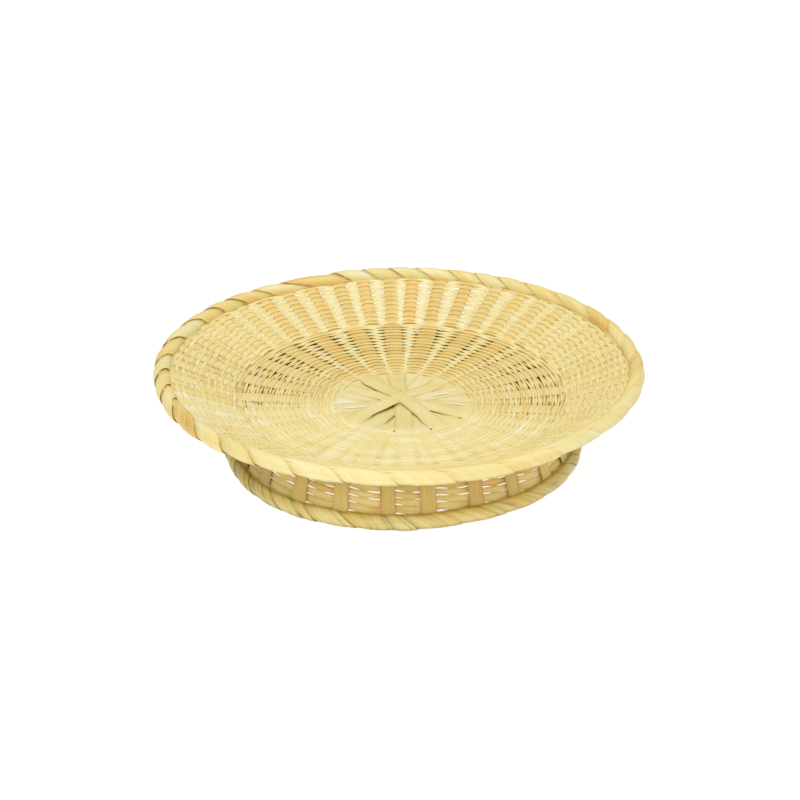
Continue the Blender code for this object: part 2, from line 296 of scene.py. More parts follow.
def bamboo(name, fibre=0.5, patch=0.35, speck=0.3, rough=(0.38, 0.62), bump=0.35, fine=1500.0, olive=0.25, shade_and_dirt_colour=(0.30, 0.27, 0.10)):
    """Split bamboo: fibres along the strip, patches of paler and darker straw, short dark specks, a tone for each strip."""
    mat = bpy.data.materials.new(name)
    mat.use_nodes = True
    nt = mat.node_tree
    nt.nodes.clear()
    N, L = nt.nodes.new, nt.links.new

    def math_node(op, a, b=None, c=None, clamp=False):
        n = N("ShaderNodeMath")
        n.operation, n.use_clamp = op, clamp
        for k, v in enumerate((a, b, c)):
            if v is None:
                continue
            if isinstance(v, (int, float)):
                n.inputs[k].default_value = v
            else:
                L(v, n.inputs[k])
        return n.outputs[0]

    where = N("ShaderNodeAttribute")
    where.attribute_name = "strand"
    tone = N("ShaderNodeAttribute")
    tone.attribute_name = "tone"
    shade_and_dirt = N("ShaderNodeAttribute")
    shade_and_dirt.attribute_name = "shade"

    def noise(scale, detail=3.0, roughness=0.55, shift=0.0):
        stretch = N("ShaderNodeVectorMath")
        stretch.operation = "MULTIPLY_ADD"
        L(where.outputs["Vector"], stretch.inputs[0])
        stretch.inputs[1].default_value = scale
        stretch.inputs[2].default_value = (shift, shift * 0.7, shift * 1.3)
        n = N("ShaderNodeTexNoise")
        n.noise_dimensions = "3D"
        n.inputs["Scale"].default_value = 1.0
        n.inputs["Detail"].default_value = detail
        n.inputs["Roughness"].default_value = roughness
        L(stretch.outputs[0], n.inputs["Vector"])
        return n.outputs[0]

    fibres = noise((42.0, fine, 31.7), 4.0, 0.6)
    broad = noise((26.0, 190.0, 12.3), 2.0, 0.5, 4.1)
    specks = noise((520.0, 2300.0, 57.1), 2.0, 0.6, 9.3)
    green = noise((9.0, 40.0, 5.9), 1.0, 0.5, 17.7)

    grey = math_node("MULTIPLY_ADD", fibres, fibre, -0.5 * fibre)
    wide = math_node("MULTIPLY_ADD", broad, patch, -0.5 * patch)
    value = math_node("ADD", tone.outputs["Fac"], math_node("ADD", grey, wide), clamp=True)
    ramp = N("ShaderNodeValToRGB")
    ramp_stops(ramp.color_ramp, BAMBOO)
    L(value, ramp.inputs["Fac"])

    dark = N("ShaderNodeValToRGB")
    ramp_stops(dark.color_ramp, ((0.0, (1, 1, 1)), (0.60, (1, 1, 1)), (0.74, (0, 0, 0))))
    L(specks, dark.inputs["Fac"])
    keep = math_node("MULTIPLY_ADD", dark.outputs["Color"], speck, 1 - speck)

    tint = N("ShaderNodeMix")
    tint.data_type, tint.blend_type = "RGBA", "MIX"
    L(math_node("MULTIPLY", math_node("SUBTRACT", green, 0.42, clamp=True), olive * 3.0, clamp=True), tint.inputs["Factor"])
    L(ramp.outputs["Color"], tint.inputs["A"])
    tint.inputs["B"].default_value = (*srgb(222, 219, 150), 1)

    shade = N("ShaderNodeMix")
    shade.data_type, shade.blend_type = "RGBA", "MULTIPLY"
    shade.inputs["Factor"].default_value = 1.0
    L(tint.outputs["Result"], shade.inputs["A"])
    L(keep, shade.inputs["B"])

    # painted shade and painted shadow, with a little real dirt and dark seams, darken the colour by the shade attribute
    shade_and_dirt_mix = N("ShaderNodeMix")
    shade_and_dirt_mix.data_type, shade_and_dirt_mix.blend_type = "RGBA", "MULTIPLY"
    L(shade_and_dirt.outputs["Fac"], shade_and_dirt_mix.inputs["Factor"])
    L(shade.outputs["Result"], shade_and_dirt_mix.inputs["A"])
    shade_and_dirt_mix.inputs["B"].default_value = (*shade_and_dirt_colour, 1)

    glossy = N("ShaderNodeMapRange")
    glossy.inputs["From Min"].default_value, glossy.inputs["From Max"].default_value = 0.3, 0.7
    glossy.inputs["To Min"].default_value, glossy.inputs["To Max"].default_value = rough
    L(fibres, glossy.inputs["Value"])

    raised = N("ShaderNodeBump")
    raised.inputs["Strength"].default_value = bump
    raised.inputs["Distance"].default_value = 0.00025
    L(fibres, raised.inputs["Height"])

    shader = N("ShaderNodeBsdfPrincipled")
    L(shade_and_dirt_mix.outputs["Result"], shader.inputs["Base Color"])
    L(glossy.outputs["Result"], shader.inputs["Roughness"])
    L(raised.outputs["Normal"], shader.inputs["Normal"])
    shader.inputs["Specular IOR Level"].default_value = 0.4
    out = N("ShaderNodeOutputMaterial")
    L(shader.outputs[0], out.inputs["Surface"])
    return mat


SPLINT_MAT = bamboo("split_bamboo", fibre=0.34, patch=0.42, speck=0.16, fine=1000.0)
STAKE_MAT = bamboo("stake_bamboo", fibre=0.48, patch=0.34, speck=0.30, fine=900.0)
WEFT_MAT = bamboo("weft_bamboo", fibre=0.25, patch=0.25, speck=0.10, fine=2600.0)
WRAP_MAT = bamboo("wrap_bamboo", fibre=0.46, patch=0.38, speck=0.14, fine=760.0, olive=0.38, shade_and_dirt_colour=(0.40, 0.28, 0.08))
FOOT_MAT = bamboo("foot_weft_bamboo", fibre=0.85, patch=0.50, speck=0.28, fine=820.0, olive=0.4)
BORDER_MAT = bamboo("border_bamboo", fibre=0.46, patch=0.38, speck=0.16, fine=760.0, olive=0.75)
HOOP_MAT = bamboo("hoop_bamboo", fibre=0.35, patch=0.3, speck=0.2)

rng = np.random.default_rng(20)

# ---------------------------------------------------------------- the 12 long splints
# in the rosette a splint keeps only the height that its neighbours need, so the pile flattens outwards
CROSS_SHIFT = (0.6, -0.9, 1.4, 2.4, -1.1, -1.2, -1.2, 1.1, -2.8, -1.3, -0.2, -0.6)
CROSS_BEND = {8: 0.0008}
CROSS_SKEW = (-0.6, 0.6, 0.8, -6.3, 0.4, 0.2, 1.0, -0.5, 3.2, 0.5, 2.4, 1.2)


def splint_line(i, s):
    """How far the middle of splint i lies to the left of its even line, at s along it."""
    r = np.abs(s)
    off_base = np.where(s > 0, SPOKE_OFF[i], SPOKE_OFF[i + 12])
    off_wall = np.where(s > 0, SPOKE_OFF_WALL[i], SPOKE_OFF_WALL[i + 12])
    off = off_base + (off_wall - off_base) * smooth((r - 88) / 22)
    near = 1 - smooth((r - 22) / 22)
    off = off * (1 - near) + (CROSS_SKEW[i] + 0.5 * (SPOKE_OFF[i] + SPOKE_OFF[i + 12])) * near
    bend = CROSS_BEND.get(i, 0.0) * s * s * near
    return CROSS_SHIFT[i] * (1 - smooth(r / 42)) + s * np.tan(np.radians(off)) + bend + 0.20 * waves(100 + i, s, 90)


# how dark the shade is beside the farther and the nearer half of the splints that lie high
SHADE_FROM = {8: (2.2, 1.0), 3: (0.0, 2.6), 10: (0.0, 1.8), 4: (0.0, 3.6), 6: (0.4, 0.9)}


def contact(i, points):
    """The shade that the splints lying on splint i throw on it, just outside those of their edges that face the front."""
    dark = np.zeros(points.shape[:2])
    for j in range(12):
        if STACK[j] <= STACK[i]:
            continue
        phi = math.radians(FIRST_SPOKE + 15 * j)
        s = points[..., 0] * math.cos(phi) + points[..., 1] * math.sin(phi)
        t = points[..., 1] * math.cos(phi) - points[..., 0] * math.sin(phi)
        t = t - splint_line(j, s)
        if j not in SHADE_FROM:
            continue
        side = -np.sign(math.cos(phi))                    # the edge that looks to the front
        gap = side * t - splint_width(np.abs(s)) / 2
        faces_front = 0.25 + 0.75 * abs(math.cos(phi))
        deep = min(1.0, (STACK[j] - STACK[i]) / 4) * np.where(s > 0, SHADE_FROM[j][0], SHADE_FROM[j][1]) * (1 - (0.25 if j in (4, 10) else 0.6) * smooth((np.abs(s) - 12) / 14))
        if j == 8:
            deep = deep * np.where(s > 0, 0.3 + 0.7 * smooth((s - 8) / 6), 1.0)
        dark = np.maximum(dark, np.exp(-(np.clip(gap, 0, None) / {3: 1.8, 4: 1.35}.get(j, 1.0)) ** 1.5) * (gap > -1.0) * faces_front * deep)
    return dark * (1 - smooth((np.hypot(points[..., 0], points[..., 1]) - 27) / 11))


def splint_width(r):
    inner = 10.4 + 1.7 * smooth((r - 24) / 9) - 2.3 * smooth((r - 41) / 8) + 1.5 * smooth((r - 60) / 30)
    outer = 11.3 - 3.1 * smooth((r - BEND_R) / 6)
    return np.where(r < BEND_R, inner, outer)


def pile(r):
    """How much of its place in the pile a splint still has at radius r."""
    return np.interp(r, (0, 7, 13, 18, 24, 34, 41), (1.0, 1.0, 0.74, 0.55, 0.42, 0.33, 0.0))


def spoke_tone(i):
    return 0.30 + 0.10 * ((i * 7) % 5 - 2) / 2


splints = []
for i in range(12):
    s = np.r_[-RIB_END_R:-106:2.2, -106:-92:0.9, -92:-40:2.0, -40:40:0.8, 40:92:2.0, 92:106:0.9, 106:RIB_END_R + 0.1:2.2]
    r = np.abs(s)
    phi = math.radians(FIRST_SPOKE + 15 * i)
    rough_r = np.interp(r, (0, 20, 41, 60), (1, 1, 0.25, 0))
    side = splint_line(i, s)
    direction = np.array([math.cos(phi), math.sin(phi), 0])
    sideways = np.array([-math.sin(phi), math.cos(phi), 0])
    z = tray_z(r) + (STACK[i] - 5.5) * 0.25 * pile(r) + 0.06 * waves(300 + i, s, 60)
    path = s[:, None] * direction + side[:, None] * sideways
    path[:, 2] = z
    width = splint_width(r) * (1 + 0.035 * waves(500 + i, s, 120))
    across = np.repeat(sideways[None], len(s), 0)
    # a splint lying half on its neighbour tilts a little
    tilt = math.radians(1.6) * rough_r * waves(700 + i, s, 80)
    across = across * np.cos(tilt)[:, None] + np.array([0, 0, 1.0]) * np.sin(tilt)[:, None]
    up = np.array([0, 0, 1.0])[None].repeat(len(s), 0)
    grid = ribbon(path, across, width, 15, 0.16, up)
    w = Weaver(f"splint_{i + 1:02d}")
    woven = smooth((r - 38) / 9)
    toward_back = 0.5 + 0.5 * np.sign(s) * math.sin(phi)
    ends = np.where(s > 0, rng.uniform(-1, 1), rng.uniform(-1, 1))
    # in the woven part the spokes are darker and warmer than in the rosette, painted shade between the strands, and
    # paler at the front, a painted sheen
    warm = 0.28 - 0.12 * smooth((0.35 - toward_back) / 0.3) + 0.26 * smooth((toward_back - 0.60) / 0.36) + 0.08 * ends
    wall = smooth((r - 99) / 3)
    behind = np.exp(-((1 - toward_back) / 0.15) ** 2)
    tone = (0.32 + 0.07 * rng.uniform(-1, 1) + 0.10 * waves(820 + i, s, 55)) * (1 - woven) + warm * woven * (1 - wall) + (0.28 + 0.20 * behind + 0.07 * ends) * wall
    edges = np.abs(np.linspace(-1, 1, 15)) ** 5
    # the ends of the rosette to the left and right are painted paler: a painted highlight, the glare on them
    painted_glare = np.exp(-((r - 33) / 9) ** 2) * math.exp(-(math.sin(phi) / 0.27) ** 2)
    tone = (tone - 0.21 * painted_glare)[:, None] + (0.18 - 0.02 * woven)[:, None] * edges[None]
    under = contact(i, grid)
    tone = tone + 0.30 * under
    # shade: the rosette a little grey and the back wall's spokes khaki, with painted shade on the spokes in the back of
    # the base and along the splints' edges in the rosette, and the painted shadow (under) that higher splints throw
    w.strip(grid, (0.27 + (SPLINT_T - 0.27) * smooth((r - 30) / 12))[:, None], tone, i * 3.7 + 1.0,
            shade=np.clip((0.08 * (1 - woven) + 0.13 * wall * behind + 0.12 * woven * (1 - wall) * smooth((toward_back - 0.3) / 0.3))[:, None] + (0.10 * (1 - woven) * smooth((r - 5) / 6))[:, None] * edges[None] + 0.74 * under, 0, 1))
    if i == 1:
        # two pale slivers that have split off beside this splint
        for a, b in (((-35.0, -13.4), (-20.5, -10.2)), ((19.5, 4.6), (30.5, 8.8)), ((28.5, -5.6), (41.0, -9.4))):
            q = np.linspace(a, b, 14)
            rr = np.hypot(q[:, 0], q[:, 1])
            lifted = np.column_stack([q, tray_z(rr) + 6.2 * 0.25 * pile(rr) + 0.55])
            step = np.array(b) - np.array(a)
            square = np.array([-step[1], step[0], 0.0]) / np.hypot(*step)
            taper = np.sin(np.linspace(0.12, math.pi - 0.5, 14)) ** 0.7 * (1.0 if a[0] < 25 else 1.3)
            w.strip(ribbon(lifted, -np.repeat(square[None], 14, 0), 1.15 * taper, 4, 0.05, up[:14]), 0.25, -0.16 if a[0] < 25 else 0.02, 77.0 + a[0])
    splints.append(w.make(SPLINT_MAT, [f"tray_splint_{i + 1:02d}"]))

# ---------------------------------------------------------------- the 24 side stakes
FOOT_LEN = math.hypot(FOOT_TOP_R - FOOT_R, FOOT_TOP_Z - FOOT_Z)
FOOT_DIR = math.atan2(FOOT_TOP_Z - FOOT_Z, FOOT_TOP_R - FOOT_R)


def foot_point(along, out):
    c, s = math.cos(FOOT_DIR), math.sin(FOOT_DIR)
    return FOOT_R + along * c + out * s, FOOT_Z + along * s - out * c


for i in range(SPOKES):
    phi = math.radians(10 + 15 * i + STAKE_OFF[i])
    line = [foot_point(a, o) for a, o in ((-2.4, 0.2), (2.5, 0.5), (5.5, 1.0), (12, 0.75), (0.7 * FOOT_LEN, 0.7), (0.92 * FOOT_LEN, 0.4))]
    line += [(100.6, 35.7), (102.5, 38.6)]
    line += [(q, float(tray_z(q))) for q in (105.5, 109.5, 118.0, 130.0, RIB_END_R)]
    line = resample(rounded(line, 3), 1.4)
    r, z = line[:, 0], line[:, 1]
    n = len(r)
    run = np.r_[0, np.cumsum(np.hypot(np.diff(r), np.diff(z)))]
    drift = 0.35 * waves(900 + i, run, 70) + rng.uniform(-0.35, 0.35)
    width = np.interp(run, (0, 26, 40), (9.3, 9.2, 8.3)) * (1 + 0.04 * waves(1100 + i, run, 90) + rng.uniform(-0.04, 0.04))
    sideways = np.array([-math.sin(phi), math.cos(phi), 0])
    path = polar(r, np.full(n, phi), z) + drift[:, None] * sideways
    tangent = np.gradient(path, axis=0)
    normal = np.cross(tangent, np.repeat(sideways[None], n, 0))
    normal /= np.linalg.norm(normal, axis=1, keepdims=True)
    grid = ribbon(path, np.repeat(sideways[None], n, 0), width, 7, 0.14, normal)
    back = 0.5 + 0.5 * math.sin(phi)
    shift = rng.uniform(-1, 1)
    foot_part = smooth((36 - z) / 4)
    tone = (0.34 + 0.28 * math.exp(-((1 - back) / 0.17) ** 2) + 0.07 * shift) * (1 - foot_part) + (0.50 + 0.07 * shift) * foot_part
    where = (math.degrees(phi) + 90) % 360
    # one stake at the far left is darker brown; the gloom is painted shade: darker high up under the rim's overhang and
    # at the left end, lighter at the right front
    tone = tone + foot_part * 0.34 * math.exp(-((where - 293) / 9) ** 2)
    gloom = foot_part * (0.33 - 0.18 * math.exp(-((where - 60) / 18) ** 2) + 0.34 * math.exp(-((where - 296) / 24) ** 2) + 0.15 * smooth((z - 22) / 9))
    tone = tone[:, None] + np.array([0.16, 0.02, -0.02, 0, -0.02, 0.02, 0.16])[None]
    w = Weaver(f"side_stake_{i + 1:02d}_split")
    w.strip(grid, STAKE_T, tone, 60 + i * 2.3, shade=gloom[:, None])
    w.make(STAKE_MAT, [f"side_stake_{i + 1:02d}"])


# ---------------------------------------------------------------- the wefts of base and wall
def over_under(c):
    """Height of a strand that crosses ribs: c is the cosine that is 1 over one rib and -1 under the next."""
    return c * (1.28 - 0.28 * c * c)


# places in the base, as degrees and mm, where a small gap between the strands shows: the strands narrow there and are
# painted dark with the shade seen through the gap
SPOTS = ((187.3, 90.8), (190.6, 96.0), (191.0, 93.0), (188.2, 86.6), (200.2, 92.7), (199.0, 96.0), (186.0, 76.0), (352.0, 93.0), (349.5, 89.0), (347.0, 94.5))


def spiral_weft(w, angles, r_in, r_out, pitch, parity, width, thick, rise, seed, samples, tones, loose_by, twined, off=(0.0, 0.0)):
    """One of two strands that chase each other: each goes over one rib and under the next, and comes out one turn and two courses further.
    twined tells whether the round next to the bend is the last or the first: there both strands run side by side."""
    turns = (r_out - r_in) / (2 * pitch) + 1.0
    steps = int(turns * len(angles) * samples)
    phi = np.linspace(0, turns * TAU, steps) + parity * math.pi + math.radians(angles[0])
    turned = phi - phi[0]
    gone = turned / TAU
    side = 0.45 * (1 if parity else -1)
    if twined == "last":
        r = np.minimum(r_in + gone * 2 * pitch, r_out + side)
    else:
        r = np.maximum(r_in + (gone - 1) * 2 * pitch, r_in + side)
    in_base = twined == "last"
    count = rib_count(phi, angles)
    free = smooth((np.abs(r - r_in) + 0.2) / 3) * smooth((np.abs(r_out - r) + 0.2) / 3)
    r = r + (off[0] * np.cos(phi) + off[1] * np.sin(phi)) * np.clip((r_out - r) / (r_out - r_in), 0, 1)
    # the rounds bunch up in places, and each crossing has its own small error
    r = r + free * (0.30 if in_base else 0.20) * waves(5 if in_base else 6, r + 3 * np.sin(phi + 1), 8.3, 4)
    r = r + (0.12 * ring_waves(seed, phi, 3) + loose_by * knots(seed + 1, count)) * (0.4 + 0.6 * free)
    c = np.cos(math.pi * (count + parity))
    front = smooth((-np.sin(phi) - 0.07 - 0.13 * np.cos(phi)) / 0.42)
    h = over_under(c) * rise * (1 + 0.16 * knots(seed + 3, count)) * (1 - 0.34 * front)
    out, up = tray_normal(r)
    z = tray_z(r)
    path = polar(r + h * out, phi, z + h * up)
    # its width lies in the tray's surface, square to its run
    tangent = np.gradient(path, axis=0)
    tangent /= np.linalg.norm(tangent, axis=1, keepdims=True)
    lean = np.stack([out * np.cos(phi), out * np.sin(phi), up], -1)
    across = np.cross(lean, tangent)
    across /= np.linalg.norm(across, axis=1, keepdims=True)
    normal = np.cross(tangent, across)
    normal = normal * np.sign(np.sum(normal * lean, axis=1))[:, None]
    back = np.exp(-(np.degrees(np.arccos(np.clip(np.sin(phi), -1, 1))) / 36) ** 2)
    # in the base it is packed closely near the centre and at the front, and more loosely further out, so that gaps open beside the spokes
    deg = np.degrees(phi) % 360
    marks = np.zeros_like(phi)
    if in_base:
        for at, far in SPOTS:
            marks = marks + np.exp(-(((deg - at) * math.pi / 180 * far / 1.7) ** 2) - ((r - far) / 0.95) ** 2)
        packed = np.maximum(0.20 * smooth((74 - r) / 18), 0.34 * front) + 0.15 * back
        from_back = np.degrees(np.arccos(np.clip(np.sin(phi), -1, 1)))
        lateral = np.exp(-((from_back - 55) / 17) ** 2)
        wide = width * (1 + (0.15 + 0.12 * lateral) * knots(seed + 5, count) * (1 - front) - 0.06 * lateral * smooth((r - 62) / 10) + 0.16 * lateral * smooth((r - 89) / 5)) * (1 + packed) * (1 + 0.26 * ((1 - c * c) ** 1.5 * (1 - front) + (1 - c ** 4) * front)) * (1 - 0.42 * np.clip(marks, 0, 1))
    else:
        corner = np.exp(-((np.degrees(phi) % 360 - 205) / 22) ** 2) + np.exp(-((np.degrees(phi) % 360 - 335) / 22) ** 2)
        loose = np.clip(back + corner, 0, 1)
        wide = width * (1 + 0.05 * knots(seed + 5, count)) * (1 + (0.58 - 0.03 * back - 0.06 * corner) * ((1 - c ** 4) * loose + (1 - c ** 8) * (1 - loose)))
    grid = ribbon(path, -across, wide, 4, thick * 0.18, normal)
    low, high = tones
    mix = 0.5 + 0.5 * np.clip(waves(seed + 6, turned, 5.1, 5), -1, 1)
    creamy = 0.03 + 0.10 * back if in_base else 0.05 + 0.15 * back + 0.07 * np.exp(-(((np.degrees(phi) % 360) - 198) / 18) ** 2) * np.clip(1 + 1.2 * knots(seed + 10, count * 2), 0, 2.2)
    # at the front the tone is painted paler and flatter, a painted sheen
    tone = low + (high - low) * mix + (0.05 + (0.09 if in_base else 0.15) * back) * smooth((c - 0.2) / 0.6) * (1 - 0.9 * front) - creamy * (1 - c * c) ** 2 - 0.11 * front
    # warmer patches near the front
    if in_base:
        patches = ((212, 70, 0.16), (236, 84, 0.10), (322, 72, 0.16), (300, 90, 0.10), (262, 62, 0.08))
        tone = tone + 0.07 * smooth((46 - r) / 4) * front
    else:
        patches = ((318, 108, 0.20), (302, 122, 0.12), (334, 120, 0.14), (284, 112, 0.10), (232, 116, 0.12), (216, 126, 0.12), (250, 128, 0.10), (182, 116, 0.16))
    for at, far, gain in patches:
        tone = tone + gain * np.exp(-(((deg - at) / 9) ** 2) - ((r - far) / 7) ** 2) * (1 + 0.6 * knots(seed + 8, count))
    # painted shade: short dark dashes beside the ribs on the left and right, darker edges in the grooves between
    # strands, darker where a strand passes under a rib, and the spots' marks
    side_gloom = (0.20 if in_base else 0.28) * np.exp(-((deg - 172) / 24) ** 2) + 0.10 * np.exp(-(((deg + 180) % 360 - 186) / 20) ** 2)
    side_gloom = side_gloom * np.exp(-((np.abs(c) - 0.45) / 0.25) ** 2) * np.clip(0.8 + 1.3 * knots(seed + 9, count * 2), 0, 2)
    groove = (0.24 if in_base else 0.14) * (1 - front) * (1 - 0.65 * back)
    w.strip(grid, thick, tone[:, None] + groove[:, None] * np.array([1.0, -0.15, -0.15, 1.0])[None], seed * 0.77, edge=0.5 + 0.4 * front[:, None], 
            shade=np.clip((0.30 * smooth((-c - 0.35) / 0.4) * (1 - 0.9 * front) + side_gloom + 0.5 * marks)[:, None] + 0.8 * groove[:, None] * np.array([1.0, 0, 0, 1.0])[None], 0, 1))


SPOKES_AT = [FIRST_SPOKE + 15 * k + SPOKE_OFF[k] for k in range(SPOKES)]
RIBS_AT = []
for k in range(SPOKES):
    RIBS_AT += [FIRST_SPOKE + 15 * k + SPOKE_OFF_WALL[k], 10 + 15 * k + STAKE_OFF[k]]
for parity, letter in ((0, "a"), (1, "b")):
    w = Weaver(f"base_weft_{letter}")
    spiral_weft(w, SPOKES_AT, BASE_IN, BASE_OUT, BASE_PITCH, parity, 1.40, 0.38, 0.61, 11 + 40 * parity, 12, (0.22, 0.46), 0.20, "last", BASE_OFF)
    w.make(WEFT_MAT, ["base_weft_1", "base_weft_3"] if parity == 0 else ["base_weft_2", "base_weft_4"])
    w = Weaver(f"wall_weft_{letter}")
    spiral_weft(w, RIBS_AT, WALL_IN, WALL_OUT, WALL_PITCH, parity, 1.40, 0.38, 0.60, 23 + 40 * parity, 9, (0.22, 0.42), 0.10, "first")
    w.make(WEFT_MAT, ["wall_weft_1", "wall_weft_3"] if parity == 0 else ["wall_weft_2"])


# ---------------------------------------------------------------- hoops
def hoop(name, r, z, width, thick, lean, seed, tone, replaces, parts=220, beside=None):
    """A closed hoop that ends in a scarf. lean turns its width from upright."""
    phi = np.linspace(0, TAU + 0.03, parts)
    radius = r + 0.15 * ring_waves(seed, phi, 2, 4)
    path = polar(radius, phi, np.full(len(phi), z))
    out = np.stack([np.cos(phi), np.sin(phi), 0 * phi], -1)
    up = np.array([0, 0, 1.0])
    across = out * math.sin(lean) + up * math.cos(lean)
    grid = ribbon(path, -across, width, 5)
    w = Weaver(name)
    w.strip(grid, thick, tone, seed)
    if beside is not None:
        # a narrow strand that lies on the wall, along the wraps' inner edge
        br, bz = beside
        path = polar(br + 0.12 * ring_waves(seed + 1, phi, 3, 6), phi, np.full(len(phi), bz))
        w.strip(ribbon(path, -across, 1.7, 4, 0.1), 0.7, 0.60 + 0.12 * ring_waves(seed + 2, phi, 2)[:, None] + np.zeros(4), seed + 3.0, shade=0.12)
    return w.make(HOOP_MAT, replaces)


WALL_TILT = math.atan(WALL_RISE)
# the hoops lie on both faces of the ribs, under the wraps
for name, node, n_off in (("rim_hoop_upper", "rim_inner_hoop", 2.1), ("rim_hoop_lower", "rim_outer_hoop", -2.1)):
    hoop(name, RIM_R - n_off * math.sin(WALL_TILT), RIM_Z + 0.6 + n_off * math.cos(WALL_TILT), 5.8, 2.2, math.pi / 2 - WALL_TILT, 5, 0.5, [node],
         beside=(141.1, float(tray_z(141.1)) + 0.95) if n_off > 0 else None)
for name, node, off in (("foot_hoop_inner", "foot_inner_hoop", -2.6), ("foot_hoop_outer", "foot_outer_hoop", 2.2)):
    hoop(name, FOOT_R + off, FOOT_Z + 0.1, 6.4, 1.7, -0.2, 6, 0.55, [node])


# ---------------------------------------------------------------- wraps
def wraps(name, centre_r, centre_z, rho, tops, advance, thick, seed, tones, replaces, bulge=0.45, floor=None, squash=(1.0, 1.0), overlap=3.0, rows=44, lift=0.4, relief=None, shade_by_angle=None, gloom=None, splits=0, special=None, girdle=None, material=WRAP_MAT, slanted=None):
    """A wide shaved splint wound round a ring. tops are the angles, in degrees from the front round by the right, at which each turn's upper edge crosses the top of the ring.
    Each turn lies on the next one's lower edge. advance maps the turn from the underside, over the top, back to the underside, to how far it has moved on.
    slanted is a second such map and the part of it that applies at an angle."""
    gen = np.random.default_rng(seed)
    count = len(tops)
    w = Weaver(name)
    a = np.linspace(math.radians(272), math.radians(-92), rows)
    moved = advance(a)
    at_top = float(advance(np.array([math.pi / 2]))[0])
    tops = [top - 90 + 360 * turn for turn in (-1, 0, 1) for top in tops]          # the front is at -90 degrees

    def line(k):
        """The upper edge of turn k, which crosses the top of the ring at tops[k] and starts and ends midway to its neighbours."""
        start, end = (tops[k - 1] + tops[k]) / 2, (tops[k] + tops[k + 1]) / 2
        plain = np.where(moved < at_top, start + (tops[k] - start) * moved / at_top, tops[k] + (end - tops[k]) * (moved - at_top) / (1 - at_top))
        if slanted is None:
            return plain
        far, top = slanted[0](a), float(slanted[0](np.array([math.pi / 2]))[0])
        gap = np.where(far < top, tops[k] - tops[k - 1], tops[k + 1] - tops[k])
        part = float(slanted[1]((tops[k] + 90) % 360))
        return plain * (1 - part) + (tops[k] + (far - top) * gap) * part

    for j in range(count):
        low, high = line(count + j - 1), line(count + j)
        share = overlap / max(tops[count + j] - tops[count + j - 1], 1.0)
        x = np.r_[-share, -0.5 * share, -0.02, 0.02, 0.06, 0.11, np.linspace(0.17, 0.88, 15 if splits else 6), 0.95, 1.0]
        across = (x + share) / (1 + share) * 2 - 1
        phi = np.radians(low[:, None] + (high - low)[:, None] * x[None, :])
        where = (np.degrees(phi[rows // 2, len(x) // 2]) + 90) % 360
        relief_here = 1.0 if relief is None else float(np.interp(where, *relief))
        wob = 0.10 * waves(seed + 31 * j, a * 5, 9.0, 4)
        step = (thick + lift * relief_here) * smooth((x + 0.02) / 0.6)
        hill = bulge * relief_here * np.clip(4 * x * (1 - x), 0, None) ** 1.3 * gen.uniform(0.7, 1.3)
        # a turn is split lengthwise here and there
        seams = np.sort(gen.uniform(0.2, 0.85, splits))
        seam = sum((np.exp(-((x - at) / 0.03) ** 2) for at in seams), 0 * x)
        radius = rho + step + hill - 0.16 * seam + wob[:, None] * (0.3 + x[None, :] * 0.7)
        radius = radius + gen.uniform(-0.15, 0.2) * relief_here
        r = centre_r + radius * np.cos(a)[:, None] * squash[0]
        z = centre_z + radius * np.sin(a)[:, None] * squash[1]
        if floor is not None:
            z = np.where(z < floor + 0.6, floor + 0.6 - 0.6 * (1 - np.exp(-(floor + 0.6 - z) / 0.6)), z)
        grid = np.stack([r * np.cos(phi), r * np.sin(phi), z], -1)
        tone = gen.uniform(*tones) + (0.0 if shade_by_angle is None else float(np.interp(where, *shade_by_angle)))
        tone += special.get(j, 0.0) if special else 0.18 * (gen.uniform() < 0.2)
        # painted highlight: where relief is high each turn is paler near the edge where it comes out from under the one
        # above
        slope = gen.uniform(-0.06, 0.10) + 0.14 * (relief_here if relief is not None else 0)
        tone = tone + slope * (x[None, :] - 0.5) + 0.08 * waves(seed + 77 * j, a * 5, 14.0, 3)[:, None]
        dark = 1.0 if gloom is None else float(np.interp(where, *gloom))
        # painted shadow along that edge, under the turn above, which also makes the tone warmer there
        reach_mm = 3.2 / max(1.0, (tops[count + j] - tops[count + j - 1]) * math.pi / 180 * centre_r)
        under_edge = np.exp(-(np.clip(x - 0.01, 0, None) / reach_mm) ** 1.3) * gen.uniform(0.6, 1.0) * dark
        fade = 0.75 + 0.25 * waves(seed + 55 * j, a * 5, 8.0, 3)
        shade = 0.80 * under_edge[None, :] * fade[:, None] + 0.34 * seam[None, :] * (0.6 + 0.4 * waves(seed + 91 * j, a * 5, 11.0, 3))[:, None]
        tone = tone + 0.30 * under_edge[None, :]
        if girdle is not None:
            shade = shade + girdle(np.degrees(a), where)[:, None]
        w.strip(grid[:, ::-1], thick, tone[:, ::-1], seed + j * 1.9, edge=0.6, start=gen.uniform(0, 900), at=-across[::-1], shade=np.clip(shade, 0, 1)[:, ::-1])
    return w.make(material, replaces)


def rim_advance(a):
    d = (272 - np.degrees(a)) / 364           # 0 under the inside, 1 under the outside
    return np.interp(d, (0, 0.16, 0.24, 0.40, 0.50, 0.60, 0.74, 0.86, 1.0), (0, 0.04, 0.09, 0.27, 0.44, 0.72, 0.88, 0.96, 1.0))


def rim_slant(a):
    """At the back the turns lie more slantwise on the inner side, and steeper on the outer side."""
    d = (272 - np.degrees(a)) / 364
    return np.interp(d, (0, 0.157, 0.225, 0.28, 0.327, 0.39, 0.445, 0.5, 0.541, 0.582, 0.75, 0.88, 1.0), (0, 0.03, 0.13, 0.25, 0.37, 0.53, 0.65, 0.73, 0.765, 0.785, 0.88, 0.97, 1.0))


def rim_slant_part(where):
    return smooth((where - 105) / 30) * (1 - smooth((where - 215) / 30))


